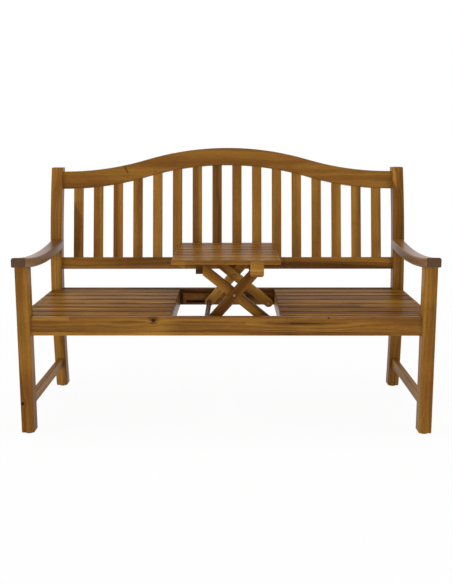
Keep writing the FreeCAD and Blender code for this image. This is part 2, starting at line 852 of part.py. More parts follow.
def screw(x, z, gap):
    """A countersunk screw from inside the seat, through a block and into the rail."""
    face = front_rail_back + block_thickness
    tip = face - block_screw_length
    shank = round_bar(x, z, block_screw_radius + gap, tip - gap, face)
    cone = Part.makeCone(block_screw_radius + gap, block_screw_head_radius + gap, block_screw_radius,
                         Vector(x, face - block_screw_radius, z), Vector(0, 1, 0))
    return shank.fuse(cone)


def guide_screws(near_end, gap=0.0):
    height = block_top - block_screw_radius * 4
    ends = (-guide_far_end + block_screw_inset, near_end - block_screw_inset)
    return [screw(x, height, gap) for x in ends]


def hinge_screws(gap=0.0):
    """Two screws above the pivot, one each side of it."""
    height = block_top - block_screw_radius * 4
    ends = (hinge_block_inner + block_screw_inset / 2, hinge_block_outer - block_screw_inset / 2)
    return [screw(x, height, gap) for x in ends]


def block_screws(at_front, gap=0.0):
    """All the screws into one rail."""
    if at_front:
        return guide_screws(front_guide_end, gap) + hinge_screws(gap)
    return [flipped(s) for s in guide_screws(rear_guide_end, gap) + hinge_screws(gap)]


def slide_rod():
    """The rod between the two outer legs, with both ends in the guides' slots."""
    near = front_rail_back + block_thickness / 4
    far = 2 * seat_middle - near
    return round_bar(rod_across, frame_pivot_height, pivot_radius, near, far)


def spreader():
    """The round wooden bar around the rod, which holds the outer legs apart."""
    near = outer_brace_far
    far = 2 * seat_middle - near
    bar = round_bar(rod_across, frame_pivot_height, spreader_radius, near, far)
    bore = round_bar(rod_across, frame_pivot_height, pivot_radius + running_clearance, near - 1, far + 1)
    return bar.cut(bore)


def glides():
    """Four plastic glides, each with the nail that holds it in the foot."""
    feet = []
    for x, y in glide_places():
        disc = Part.makeCylinder(glide_radius, glide_height, Vector(x, y, 0))
        rim = [e for e in disc.Edges if e.BoundBox.ZMax < 0.01]
        disc = disc.makeFillet(glide_height / 3, rim)
        feet.append(disc.fuse(nail_hole(x, y, 0.0)))
    return Part.Compound(feet)


def build():
    os.makedirs("parts", exist_ok=True)
    for name, shape in (("front_leg", front_leg()), ("rear_post", rear_post()), ("arm", arm()),
                        ("side_rail", side_rail()), ("side_stretcher", stretcher()),
                        ("inner_bearer", bearer(bearer_inner + bearer_thickness / 2))):
        save(name + "_right", shape)
        save(name + "_left", mirrored(shape))
    middle = bearer(mid_bearer_centre)
    save("middle_bearers", Part.Compound([middle, mirrored(middle)]))
    save("front_rail", cross_rail(front_rail_setback, seat_height))
    save("rear_rail", cross_rail(rear_rail_front, seat_height + rear_rail_rise))
    save("crest_rail", crest_rail())
    save("low_back_rail", low_back_rail())
    for pair in range(back_slat_pairs):
        save("back_slats_%d" % (pair + 1), back_slat_pair(pair))
    for row in range(seat_slat_rows):
        slat = seat_slat(row)
        save("seat_slats_%d" % (row + 1), Part.Compound([slat, mirrored(slat)]))
        save("table_slat_%d" % (row + 1), table_slat(row))
    save("table_batten_left", table_batten(-batten_centre))
    save("table_batten_right", table_batten(batten_centre))
    save("table_tab", table_tab())
    save("table_rear_bracket", table_rear_bracket())
    save("outer_leg_front", outer_brace())
    save("outer_leg_rear", flipped(outer_brace()))
    save("inner_leg_front", inner_brace())
    save("inner_leg_rear", flipped(inner_brace()))
    save("slide_rod", slide_rod())
    save("spreader_bar", spreader())
    save("front_guide", guide(front_guide_end))
    save("rear_guide", flipped(guide(rear_guide_end)))
    save("cross_bolts", Part.Compound([front_cross_bolt(), rear_cross_bolt()]))
    for name, shape in (("hinge_blocks", hinge_block()), ("frame_bolts", frame_bolt()),
                        ("frame_spacers", frame_spacer()), ("table_pins", pivot_pin(0.0))):
        save(name, Part.Compound([shape, flipped(shape)]))
    save("block_screws", Part.Compound(block_screws(True) + block_screws(False)))
    seat = [d for across in bearer_places() for d in seat_dowels(across)]
    save("seat_dowels", Part.Compound(seat + [mirrored(d) for d in seat]))
    rows = range(seat_slat_rows)
    pegs = [table_dowel(side * batten_centre, row) for side in (-1, 1) for row in rows]
    save("table_dowels", Part.Compound(pegs))
    save("foot_glides", glides())


build()
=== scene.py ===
"""Dresses the companion seat: oiled acacia boards, zinc-plated fittings and a plain pale stage."""
import math

import bpy
from mathutils import Euler, Matrix, Vector


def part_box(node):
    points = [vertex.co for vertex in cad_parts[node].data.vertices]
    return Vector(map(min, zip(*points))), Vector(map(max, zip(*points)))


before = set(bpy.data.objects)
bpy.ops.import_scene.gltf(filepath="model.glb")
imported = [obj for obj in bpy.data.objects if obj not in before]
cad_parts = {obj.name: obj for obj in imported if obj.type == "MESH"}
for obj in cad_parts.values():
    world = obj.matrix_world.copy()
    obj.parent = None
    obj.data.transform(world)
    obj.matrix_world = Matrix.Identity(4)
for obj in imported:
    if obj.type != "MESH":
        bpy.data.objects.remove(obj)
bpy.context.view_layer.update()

bl_info = {
    "name": "Companion seat finishes",
    "version": (1, 0, 0),
    "blender": (4, 5, 0),
    "location": "View3D > Sidebar > Bench",
    "description": "Gives the bench its oiled acacia, its fittings and its stage",
    "category": "Material",
}

MM = 0.001

WHITE = (1.0, 1.0, 1.0, 1.0)

# The camera that took the photograph, found from the bench's own edges: angles in degrees, places in metres
# from the bench's middle, the front face of its legs and the floor
PICTURE_HEIGHT = 584
FOCAL_PIXELS = 745.18
CENTRE_ROW = 262.0
SENSOR_MM = 36.0
CAMERA_YAW = 0.574
CAMERA_PITCH = 8.965
CAMERA_ROLL = -0.117
CAMERA_ACROSS = 0.0260
CAMERA_DEPTH = -2.4923
CAMERA_HEIGHT = 1.0075

# Places and spacings of the boards that patterns are fitted to, in metres
FRONT_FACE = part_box("front_leg_left")[0][1]
LEG_MIDDLE = (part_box("front_leg_right")[0][0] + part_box("front_leg_right")[1][0]) / 2
MIDDLE_DEPTH = (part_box("front_rail")[1][1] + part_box("rear_rail")[0][1]) / 2
SEAT_ROW_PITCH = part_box("seat_slats_2")[0][1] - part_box("seat_slats_1")[0][1]
SEAT_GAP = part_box("seat_slats_2")[0][1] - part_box("seat_slats_1")[1][1]
SEAT_ROW_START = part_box("seat_slats_1")[0][1] - SEAT_GAP / 2
BACK_SLAT_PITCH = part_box("back_slats_2")[1][0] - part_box("back_slats_1")[1][0]
BACK_SLAT_WIDTH = 38.8 * MM

# How the grain of a group is turned onto X, in degrees
ALONG_X = (0.0, 0.0, 0.0)
UPRIGHT = (0.0, 90.0, 0.0)
ON_EDGE = (-90.0, 0.0, 0.0)
FRONT_TO_BACK = (0.0, 0.0, -90.0)
BACK_RAKE = 10.834
IN_THE_BACK = (BACK_RAKE, 90.0, 0.0)
ALONG_THE_BACK = (BACK_RAKE - 90.0, 0.0, 0.0)
ALONG_OUTER_LEG = (0.0, 48.3, 0.0)
ALONG_INNER_LEG = (0.0, -39.3, 0.0)

# Where the cells that part the pieces of a group start, in metres: along an axis with FAR they aren't parted
FAR = -50.0
OUTSIDE = (FAR, FAR, FAR)
LEFT_AND_RIGHT = (0.0, FAR, FAR)
LEFT_RIGHT_LOW_HIGH = (0.0, FAR, 0.0)
LEFT_RIGHT_BY_ROW = (0.0, SEAT_ROW_START, FAR)
ROW_BY_ROW = (FAR, SEAT_ROW_START, FAR)
FRONT_AND_REAR = (FAR, MIDDLE_DEPTH, FAR)
GUIDE_OR_BLOCK = (0.12, MIDDLE_DEPTH, FAR)

# The size of these cells in metres
EVERYWHERE = 100.0
UNPARTED = (EVERYWHERE, EVERYWHERE, EVERYWHERE)
EACH_ROW = (EVERYWHERE, SEAT_ROW_PITCH, EVERYWHERE)
EACH_BACK_SLAT = (BACK_SLAT_PITCH, EVERYWHERE, EVERYWHERE)
EACH_BEARER = (0.3, EVERYWHERE, EVERYWHERE)
RAIL_OR_STRETCHER = (EVERYWHERE, EVERYWHERE, 0.2)

# Length and width of a stave in millimetres: a board sawn from one piece, and glued-up ones
WHOLE = 1e5
ONE_PIECE = (WHOLE, WHOLE)
RAIL_STAVES = (WHOLE, 34.0)
SHORT_RAIL_STAVES = (700.0, 34.0)
SEAT_STAVES = (900.0, 34.0)

# The lumps of the grain's patterns: their length along it and their width across it, in millimetres. Pores
# and bundles of fibres are drawn coarser than real ones, so that they show
RING_WAVES = (400.0, 83.33)
CLOUDS = (200.0, 111.11)
RED_STREAKS = (250.0, 45.45)
# Patches along the slats in which the painted shade in the gaps is stronger
GAP_SHADE_PATCHES = (111.11, 1000.0)
PORES = (16.667, 1.4286)
FIBRE_LENGTH = 35.714

# Zones and bands follow the rings: their widths in rings and their length along the grain in millimetres
ZONE_WIDTH = 4.545
BAND_WIDTH = 1.0
RING_LENGTH = 1250.0

# Where a stave's pith may run beside the frame's middle axis, and how far its rings wave, in metres
PITH_LOW = (0.0, -0.12, -0.16)
PITH_RANGE = (0.0, 0.24, 0.10)
RING_WAVE_HEIGHT = 50.0 * MM

# A knot pushes the rings aside as far as this many of its radii, and its heart fades between two of them
KNOT_REACH = 4.0
KNOT_PUSH = 16.0 * MM
KNOT_HEART = (0.6, 1.4)

# Noise above these levels is the edge and the floor of a pore
PORE_EDGE = 0.60
PORE_FLOOR = 0.72

# How high the fibres stand, and how much they differ in roughness
FIBRE_RELIEF = 0.3 * MM
FIBRE_ROUGHNESS = 0.16

# How squarely a face looks along the grain, where the end grain starts to drink oil and where it is as dark
# as it gets, or across the slats, where painted shade on their sides in the gaps starts and is full, and how
# dark that shade gets
END_FACING = (0.6, 0.95)
GAP_FACING = (0.1, 0.6)
GAP_DARKNESS = 0.8

# How far apart, in lumps, the boards and staves are read in one noise
LUCK_SPREAD = (61.0, 61.0, 61.0)

# The fittings' patterns: clouds on the zinc, grain of the mould, length and width of the beech's flecks
ZINC_BLOOM = 6.25 * MM
BLOOM_ROUGHNESS = 0.2
MOULD_GRAIN = 1.1111 * MM
BEECH_FLECKS = (4.0, 0.6667)

# Half the floor's side, and how far from the middle its shading begins and ends to fade, in metres
FLOOR_REACH = 30.0
FLOOR_FADE = (1.2, 2.4)

# Pale and dark parts of single back slats: slat from the left, mm across from its middle, height in metres,
# width and height in mm, slope and change of tone. Their edges are all as soft, in mm
BACK_SLAT_SOFTNESS = 8.0
BACK_SLAT_MARKS = (
    (0, 0.0, 0.60, 44.0, 280.0, -1.8, -0.20), (0, 0.0, 0.83, 44.0, 100.0, 0.0, 0.1),
    (2, -10.0, 0.70, 24.0, 420.0, 0.0, -0.34), (2, 12.0, 0.70, 14.0, 420.0, 0.0, 0.08),
    (3, 0.0, 0.70, 44.0, 420.0, 0.0, -0.08), (4, 6.0, 0.70, 30.0, 420.0, 0.0, 0.08),
    (6, 13.0, 0.72, 9.0, 440.0, 0.0, 0.25), (6, -6.0, 0.72, 24.0, 440.0, 0.0, -0.12),
    (7, 0.0, 0.72, 44.0, 450.0, 0.0, -0.24), (8, 0.0, 0.72, 44.0, 450.0, 0.0, 0.06),
    (9, 0.0, 0.72, 44.0, 450.0, 0.0, 0.12), (10, 0.0, 0.72, 44.0, 450.0, 0.0, 0.12),
    (14, -10.0, 0.70, 20.0, 420.0, 0.0, 0.1), (14, 10.0, 0.70, 20.0, 420.0, 0.0, -0.25))


def linear(code):
    """The linear colour of an sRGB hex code: (c + 0.055) / 1.055 to the power 2.4, or c / 12.92 if dark."""
    parts = [int(code[k:k + 2], 16) / 255 for k in (1, 3, 5)]
    return tuple(c / 12.92 if c <= 0.04045 else ((c + 0.055) / 1.055) ** 2.4 for c in parts) + (1.0,)


def colour(name, code, about):
    """A colour that a user can change."""
    return bpy.props.FloatVectorProperty(
        name=name, description=about, subtype="COLOR", size=4, min=0.0, max=1.0, default=linear(code))


def length(name, default, about):
    """A length that a user can change, given in millimetres."""
    return bpy.props.FloatProperty(
        name=name, description=about, default=default * MM, min=0.0, unit="LENGTH")


def ratio(name, default, about):
    """A share from 0 to 1 that a user can change."""
    return bpy.props.FloatProperty(
        name=name, description=about, default=default, min=0.0, max=1.0, subtype="FACTOR")


def power(name, default, about):
    """A lamp's power that a user can change, in watts."""
    return bpy.props.FloatProperty(name=name, description=about, default=default, min=0.0, unit="POWER")


class AcaciaSettings(bpy.types.PropertyGroup):
    """Colours and figure of the oiled acacia."""
    heartwood: colour("Heartwood", "#40280E", "Darkest streaks of the heartwood")
    brown: colour("Brown wood", "#724C1E", "Common tone of the boards")
    golden: colour("Golden wood", "#966B2A", "Lighter zones")
    sapwood: colour("Sapwood", "#BC8E48", "Pale edge of the trunk")
    red: colour("Red tint", "#7C481A", "Warm tint of some streaks")
    knot: colour("Knot", "#2E170A", "Heart of a knot")
    red_share: ratio("Red share", 0.30, "How strong the warm streaks are")
    zones: ratio("Zones", 0.42, "How much wide zones of heartwood and sapwood differ")
    bands: ratio("Bands", 0.30, "How much the ring bands differ")
    clouds: ratio("Clouds", 0.30, "How much the tone drifts within a board")
    fibres: ratio("Fibres", 0.30, "How much single bundles of fibres differ")
    pores: ratio("Pores", 0.45, "How dark the open pores are")
    ring_width: length("Ring width", 9.0, "Mean width of a growth ring where it meets the surface")
    fibre_width: length("Fibre width", 1.6, "Width of a visible bundle of fibres")
    roughness: ratio("Roughness", 0.34, "Roughness of the oiled surface")
    gloss: ratio("Gloss", 0.08, "Strength of the wood's own reflection, 0.5 being that of its index")
    oil_film: ratio("Oil film", 0.015, "How much the oil film shines over the wood")


class FittingSettings(bpy.types.PropertyGroup):
    """Colours of the metal and plastic fittings."""
    zinc: colour("Zinc", "#9A7757", "Zinc-plated steel, weathered to a brown grey")
    passivated: colour("Passivated zinc", "#7A5C34", "Yellow-passivated screws")
    nylon: colour("Nylon", "#4A3626", "Brown nylon of the glides and sleeves")
    beech: colour("Beech", "#B48D62", "Beech dowels")
    zinc_roughness: ratio("Zinc roughness", 0.34, "Roughness of the plating")


class StageSettings(bpy.types.PropertyGroup):
    """The pale floor, the even light and the lamps."""
    floor: colour("Floor", "#FBFBFA", "Pale studio floor")
    daylight: ratio("Daylight", 0.39, "Strength of the even light from all sides")
    front: power("Front lamp", 45.0, "Power of the wide lamp low in front")
    sides: power("Side lamps", 47.0, "Power of each lamp beside the bench")
    rear: power("Rear lamp", 36.0, "Power of the lamp behind the bench")
    overhead: power("Overhead lamp", 46.0, "Power of the lamp above the seat")
    shadow: ratio("Shadow", 0.06, "How much of the floor's own shading the camera sees")


def add(tree, kind, inputs=(), out=0, **settings):
    """Add one shader node with its settings, give its inputs values or links, and return one output."""
    node = tree.nodes.new("ShaderNode" + kind)
    for key, value in settings.items():
        setattr(node, key, value)
    for key, value in dict(inputs).items():
        if isinstance(value, bpy.types.NodeSocket):
            tree.links.new(value, node.inputs[key])
        else:
            node.inputs[key].default_value = value
    return node.outputs[out] if node.outputs else node


def new_material(name):
    """An empty material with this name."""
    made = bpy.data.materials.new(name)
    made.use_nodes = True
    made.node_tree.nodes.clear()
    return made


def dress(nodes, material):
    """Give the material to the CAD pieces of these nodes."""
    for name in nodes:
        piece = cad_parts[name]
        piece.data.materials.clear()
        piece.data.materials.append(material)


def seen(tree):
    """1 where the camera, a reflection or clear material looks at it, and 0 for its light on the bench."""
    path = add(tree, "LightPath").node.outputs
    looked_at = add(tree, "Math", {0: path["Is Camera Ray"], 1: path["Is Glossy Ray"]}, operation="MAXIMUM")
    return add(tree, "Math", {0: looked_at, 1: path["Is Transmission Ray"]}, operation="MAXIMUM")


def lumps(size):
    """The scale of a pattern whose lumps have this length and width in millimetres."""
    long, wide = size
    return 1 / (long * MM), 1 / (wide * MM), 1 / (wide * MM)


def staves(tree, board, seed, along, size):
    """Random colours of the board and of the stave: rows across the grain, cut along it at unlike places."""
    scale = lumps(size)
    luck = add(tree, "TexWhiteNoise", {"Vector": board, "W": seed}, "Color", noise_dimensions="4D")
    start = add(tree, "SeparateXYZ", {0: luck}).node.outputs
    place = add(tree, "SeparateXYZ", {0: along}).node.outputs
    row = add(tree, "Math", {0: place["Y"], 1: scale[1], 2: start[0]}, operation="MULTIPLY_ADD")
    row = add(tree, "Math", {0: row}, operation="FLOOR")
    shift = add(tree, "TexWhiteNoise", {"Vector": luck, "W": row}, "Value", noise_dimensions="4D")
    cut = add(tree, "Math", {0: place["X"], 1: scale[0], 2: shift}, operation="MULTIPLY_ADD")
    cut = add(tree, "Math", {0: cut}, operation="FLOOR")
    cell = add(tree, "CombineXYZ", {0: row, 1: cut, 2: start[1]})
    return luck, add(tree, "TexWhiteNoise", {"Vector": cell, "W": start[2]}, "Color", noise_dimensions="4D")


def stretched(tree, along, luck, scale, detail, roughness=0.5, softness=None):
    """Noise drawn out along the grain, at a place of its own for each board or stave. With a softness, it
    is 0 or 1 further than that from its middle, with a soft step between."""
    place = add(tree, "VectorMath", {0: along, 1: scale}, operation="MULTIPLY")
    place = add(tree, "VectorMath", {0: luck, 1: LUCK_SPREAD, 2: place}, operation="MULTIPLY_ADD")
    noise = add(tree, "TexNoise", {
        "Vector": place, "Scale": 1.0, "Detail": detail, "Roughness": roughness}, "Fac")
    if softness is None:
        return noise
    return add(tree, "MapRange", {"Value": noise, "From Min": 0.5 - softness, "From Max": 0.5 + softness},
               interpolation_type="SMOOTHSTEP")


def growth_rings(tree, place, along, lot, knots):
    """Where a place lies in the rings, and how deep in the heart of a knot. A ring's radius is the
    distance from the stave's pith, waved along the grain and pushed aside by the knots."""
    pith = add(tree, "VectorMath", {0: lot, 1: PITH_RANGE, 2: PITH_LOW}, operation="MULTIPLY_ADD")
    off = add(tree, "VectorMath", {0: along, 1: (0.0, 1.0, 1.0)}, operation="MULTIPLY")
    radius = add(tree, "VectorMath", {0: off, 1: pith}, "Value", operation="DISTANCE")
    wave = stretched(tree, along, lot, lumps(RING_WAVES), detail=2.0)
    radius = add(tree, "Math", {0: wave, 1: RING_WAVE_HEIGHT, 2: radius}, operation="MULTIPLY_ADD")
    heart = 0.0
    for x, y, z, size in knots:
        away = add(tree, "VectorMath", {0: place, 1: (x, y, z)}, "Value", operation="DISTANCE")
        push = add(tree, "MapRange", {
            "Value": away, "From Max": size * KNOT_REACH * MM, "To Min": KNOT_PUSH, "To Max": 0.0},
            interpolation_type="SMOOTHSTEP")
        radius = add(tree, "Math", {0: radius, 1: push}, operation="ADD")
        near, far = (size * share * MM for share in KNOT_HEART)
        dark = add(tree, "MapRange", {
            "Value": away, "From Min": near, "From Max": far, "To Min": 1.0, "To Max": 0.0},
            interpolation_type="SMOOTHSTEP")
        heart = add(tree, "Math", {0: heart, 1: dark}, operation="MAXIMUM")
    width = bpy.context.scene.bench_acacia.ring_width
    rings = add(tree, "Math", {0: radius, 1: width}, operation="DIVIDE")
    slow = add(tree, "SeparateXYZ", {0: along})
    slow = add(tree, "Math", {0: slow, 1: 1 / (RING_LENGTH * MM)}, operation="MULTIPLY")
    return add(tree, "CombineXYZ", {0: rings, 1: slow, 2: 0.0}), heart


def with_marks(tree, level, flat, marks):
    """The level of tone with the marks: each adds its change inside a slanted box on the bench's front."""
    for x, z, width, height, slope, change, softness in marks:
        up = add(tree, "Math", {0: flat["Z"], 1: z}, operation="SUBTRACT")
        across = add(tree, "Math", {0: flat["X"], 1: x}, operation="SUBTRACT")
        up = add(tree, "Math", {0: across, 1: -slope, 2: up}, operation="MULTIPLY_ADD")
        edges = []
        for distance, size in ((across, width), (up, height)):
            distance = add(tree, "Math", {0: distance}, operation="ABSOLUTE")
            edges.append(add(tree, "Math", {0: distance, 1: size / 2 * MM}, operation="SUBTRACT"))
        edge = add(tree, "Math", {0: edges[0], 1: edges[1]}, operation="MAXIMUM")
        inside = add(tree, "MapRange", {
            "Value": edge, "From Min": -softness * MM, "From Max": softness * MM,
            "To Min": change, "To Max": 0.0})
        level = add(tree, "Math", {0: level, 1: inside}, operation="ADD")
    return level


def wood_colour(tree, level, along, lot):
    """Heartwood, brown, golden or sapwood by the level of tone, with reddish streaks."""
    wood = bpy.context.scene.bench_acacia
    ramp = add(tree, "ValToRGB", {0: level})
    stops = ramp.node.color_ramp.elements
    stops[0].color = wood.heartwood
    stops[1].color = wood.sapwood
    for position, shade in ((0.34, wood.brown), (0.66, wood.golden)):
        stops.new(position).color = shade
    reddish = stretched(tree, along, lot, lumps(RED_STREAKS), detail=1.0, softness=0.25)
    reddish = add(tree, "Math", {0: reddish, 1: wood.red_share}, operation="MULTIPLY")
    return add(tree, "Mix", {"Factor": reddish, 6: ramp, 7: wood.red}, 2, data_type="RGBA")


def painted_gap_shade(tree, flat, facing, along, luck, depth):
    """How dark the painted shade on the slats' sides in the gaps is behind this depth, uneven along them."""
    behind = add(tree, "Math", {0: flat["Y"], 1: depth}, operation="GREATER_THAN")
    side = add(tree, "Math", {0: add(tree, "SeparateXYZ", {0: facing}, "Y")}, operation="ABSOLUTE")
    low, high = GAP_FACING
    side = add(tree, "MapRange", {"Value": side, "From Min": low, "From Max": high, "To Max": GAP_DARKNESS})
    uneven = stretched(tree, along, luck, lumps(GAP_SHADE_PATCHES), detail=1.0, softness=0.15)
    for share in (behind, uneven):
        side = add(tree, "Math", {0: side, 1: share}, operation="MULTIPLY")
    return side


def acacia(name, turn=ALONG_X, start=OUTSIDE, cell=UNPARTED, stave=ONE_PIECE, tone=0.5, spread=0.3, seed=0.0,
           knots=(), marks=(), oil=1.0, end_grain=0.4, figure=1.0, shade_gaps_behind=None):
    """Oiled acacia, planed: golden brown, with wide dark and pale zones and narrow streaks that follow the
    rings, staves of unlike tone, short open pores, darker end grain and a thin satin film of oil.

    turn brings the grain onto X. start and cell cut the pieces of one group apart, in metres. stave is
    the length and width of a stave in millimetres. tone is the mean from heartwood (0) to sapwood (1),
    and spread is how much boards and staves differ. knots are (x, y, z, radius). marks are pale or dark
    patches on the front, some of them painted shade, (x, z, width, height, slope, change of tone, softness).
    Places are in metres, the sizes of knots and marks in millimetres. oil is how much more the surface
    shines than usual, end_grain how dark the sawn ends are and figure how strong the zones and bands are.
    With a depth for the gaps, the slats' sides behind it get painted shade, uneven along them.
    """
    wood = bpy.context.scene.bench_acacia
    made = new_material(name)
    tree = made.node_tree
    turn = [math.radians(a) for a in turn]

    place = add(tree, "TexCoord", out="Object")
    flat = add(tree, "SeparateXYZ", {0: place}).node.outputs
    along = add(tree, "Mapping", {"Vector": place, "Rotation": turn})
    board = add(tree, "VectorMath", {0: place, 1: start}, operation="SUBTRACT")
    board = add(tree, "VectorMath", {0: board, 1: cell}, operation="DIVIDE")
    board = add(tree, "VectorMath", {0: board}, operation="FLOOR")
    luck, lot = staves(tree, board, seed, along, stave)

    rings, heart = growth_rings(tree, place, along, lot, knots)
    zones = stretched(tree, rings, lot, (1 / ZONE_WIDTH, 1.0, 1.0), detail=1.0, softness=0.17)
    bands = stretched(tree, rings, lot, (1 / BAND_WIDTH, 1.0, 1.0), detail=2.0, softness=0.22)
    clouds = stretched(tree, along, luck, lumps(CLOUDS), detail=2.0)
    bundle = (FIBRE_LENGTH, wood.fibre_width / MM)
    fibres = stretched(tree, along, luck, lumps(bundle), detail=2.0, roughness=0.6)

    # Tone from heartwood to sapwood: the board, its stave, wide zones, narrow bands, clouds and fine fibres
    level = tone
    for source, share in (
            (add(tree, "SeparateXYZ", {0: luck}, "X"), spread),
            (add(tree, "SeparateXYZ", {0: lot}, "Z"), spread),
            (zones, wood.zones * figure), (bands, wood.bands * figure),
            (clouds, wood.clouds), (fibres, wood.fibres)):
        level = add(tree, "Math", {0: source, 1: share, 2: level}, operation="MULTIPLY_ADD")
        level = add(tree, "Math", {0: level, 1: share / 2}, operation="SUBTRACT")
    level = with_marks(tree, level, flat, marks)
    shade = wood_colour(tree, level, along, lot)

    # End grain drinks more oil, and the slats' sides in the gaps get painted shade; knots and pores are dark
    facing = add(tree, "TexCoord", out="Normal")
    grainwise = add(tree, "SeparateXYZ", {0: add(tree, "Mapping", {"Vector": facing, "Rotation": turn})})
    grainwise = add(tree, "Math", {0: grainwise}, operation="ABSOLUTE")
    low, high = END_FACING
    end_grain_and_gap_shade = add(tree, "MapRange", {"Value": grainwise, "From Min": low, "From Max": high, "To Max": end_grain})
    # Painted shade in the gaps, on the slats' sides that face front or back
    if shade_gaps_behind is not None:
        shade_on_sides = painted_gap_shade(tree, flat, facing, along, luck, shade_gaps_behind)
        end_grain_and_gap_shade = add(tree, "Math", {0: end_grain_and_gap_shade, 1: shade_on_sides}, operation="MAXIMUM")
    pores = stretched(tree, along, luck, lumps(PORES), detail=1.0)
    pores = add(tree, "MapRange", {
        "Value": pores, "From Min": PORE_EDGE, "From Max": PORE_FLOOR, "To Max": wood.pores})
    for share, dark in ((end_grain_and_gap_shade, wood.heartwood), (pores, wood.heartwood), (heart, wood.knot)):
        shade = add(tree, "Mix", {"Factor": share, 6: shade, 7: dark}, 2, data_type="RGBA")

    height = add(tree, "Math", {0: fibres, 1: pores}, operation="SUBTRACT")
    bump = add(tree, "Bump", {"Strength": 0.2, "Distance": FIBRE_RELIEF, "Height": height})
    rough = add(tree, "Math", {
        0: fibres, 1: FIBRE_ROUGHNESS, 2: wood.roughness - FIBRE_ROUGHNESS / 2}, operation="MULTIPLY_ADD")
    surface = add(tree, "BsdfPrincipled", {
        "Base Color": shade, "Roughness": rough, "IOR": 1.46, "Specular IOR Level": wood.gloss * oil,
        "Coat Weight": wood.oil_film * oil, "Coat Roughness": 0.2, "Coat IOR": 1.45, "Normal": bump})
    add(tree, "OutputMaterial", {0: surface})
    return made


def plated_steel(name, shade):
    """Steel plated with zinc, brown grey or passivated to a dull yellow brown, with a faint cloudy bloom."""
    fittings = bpy.context.scene.bench_fittings
    made = new_material(name)
    tree = made.node_tree
    bloom = add(tree, "TexNoise", {
        "Vector": add(tree, "TexCoord", out="Object"), "Scale": 1 / ZINC_BLOOM, "Detail": 3.0})
    dull = [c * 0.6 for c in shade[:3]] + [1.0]
    shade = add(tree, "Mix", {"Factor": bloom, 6: dull, 7: shade}, 2, data_type="RGBA")
    rough = add(tree, "Math", {
        0: bloom, 1: BLOOM_ROUGHNESS, 2: fittings.zinc_roughness - BLOOM_ROUGHNESS / 2},
        operation="MULTIPLY_ADD")
    surface = add(tree, "BsdfPrincipled", {"Base Color": shade, "Metallic": 1.0, "Roughness": rough})
    add(tree, "OutputMaterial", {0: surface})
    return made


def moulded_nylon():
    """Moulded nylon: dark brown and matt, with the grain of its mould, drawn coarse enough to show."""
    fittings = bpy.context.scene.bench_fittings
    made = new_material("moulded_nylon")
    tree = made.node_tree
    grit = add(tree, "TexNoise", {
        "Vector": add(tree, "TexCoord", out="Object"), "Scale": 1 / MOULD_GRAIN, "Detail": 2.0})
    pale = [c * 1.8 for c in fittings.nylon[:3]] + [1.0]
    shade = add(tree, "Mix", {"Factor": grit, 6: fittings.nylon, 7: pale}, 2, data_type="RGBA")
    bump = add(tree, "Bump", {"Strength": 0.2, "Distance": 0.1 * MM, "Height": grit})
    surface = add(tree, "BsdfPrincipled", {"Base Color": shade, "Roughness": 0.55, "Normal": bump})
    add(tree, "OutputMaterial", {0: surface})
    return made


def turned_beech():
    """Raw beech, turned: pale and even, with short flecks."""
    fittings = bpy.context.scene.bench_fittings
    made = new_material("raw_beech")
    tree = made.node_tree
    place = add(tree, "TexCoord", out="Object")
    upright = lumps(BEECH_FLECKS)[::-1]
    fleck = add(tree, "VectorMath", {0: place, 1: upright}, operation="MULTIPLY")
    fleck = add(tree, "TexNoise", {"Vector": fleck, "Scale": 1.0, "Detail": 2.0})
    dark = [c * 0.7 for c in fittings.beech[:3]] + [1.0]
    shade = add(tree, "Mix", {"Factor": fleck, 6: dark, 7: fittings.beech}, 2, data_type="RGBA")
    surface = add(tree, "BsdfPrincipled", {"Base Color": shade, "Roughness": 0.6})
    add(tree, "OutputMaterial", {0: surface})
    return made


class BENCH_OT_front_legs(bpy.types.Operator):
    """Dress the square front legs."""
    bl_idname = "bench.front_legs"
    bl_label = "Front legs"
    bl_options = {"REGISTER", "UNDO"}

    def execute(self, context):
        knot = (-0.712, FRONT_FACE, 0.112, 6.0)
        marks = ((-LEG_MIDDLE, 0.06, 60.0, 260.0, 0.0, -0.32, 60.0),
                 (-LEG_MIDDLE, 0.54, 60.0, 140.0, 0.0, -0.1, 30.0),
                 (LEG_MIDDLE, 0.54, 60.0, 140.0, 0.0, 0.14, 20.0),
                 (LEG_MIDDLE, 0.10, 60.0, 200.0, 0.0, -0.16, 40.0))
        dress(("front_leg_left", "front_leg_right"), acacia(
            "oiled_acacia_front_legs", UPRIGHT, LEFT_AND_RIGHT, tone=0.50, spread=0.1, figure=0.7, seed=3.0,
            oil=0.5, knots=(knot,), marks=marks))
        return {"FINISHED"}


class BENCH_OT_rear_posts(bpy.types.Operator):
    """Dress the swept rear posts."""
    bl_idname = "bench.rear_posts"
    bl_label = "Rear posts"
    bl_options = {"REGISTER", "UNDO"}

    def execute(self, context):
        marks = ((0.684, 0.875, 16.0, 60.0, -2.0, 0.4, 4.0),
                 (-LEG_MIDDLE, 0.76, 60.0, 400.0, 0.0, -0.27, 20.0),
                 (LEG_MIDDLE, 0.74, 60.0, 340.0, 0.0, -0.2, 20.0))
        dress(("rear_post_left", "rear_post_right"), acacia(
            "oiled_acacia_rear_posts", UPRIGHT, LEFT_AND_RIGHT, tone=0.42, spread=0.1, seed=8.0, oil=0.8,
            marks=marks))
        return {"FINISHED"}


class BENCH_OT_arms(bpy.types.Operator):
    """Dress the bent arms, sawn from darker boards."""
    bl_idname = "bench.arms"
    bl_label = "Arms"
    bl_options = {"REGISTER", "UNDO"}

    def execute(self, context):
        # end_grain 0.9 darkens the arms' front ends as darker end grain and also as painted shade
        dress(("arm_left", "arm_right"), acacia(
            "oiled_acacia_arms", FRONT_TO_BACK, LEFT_AND_RIGHT, tone=0.22, spread=0.1, seed=5.0, oil=5.0,
            end_grain=0.9))
        return {"FINISHED"}


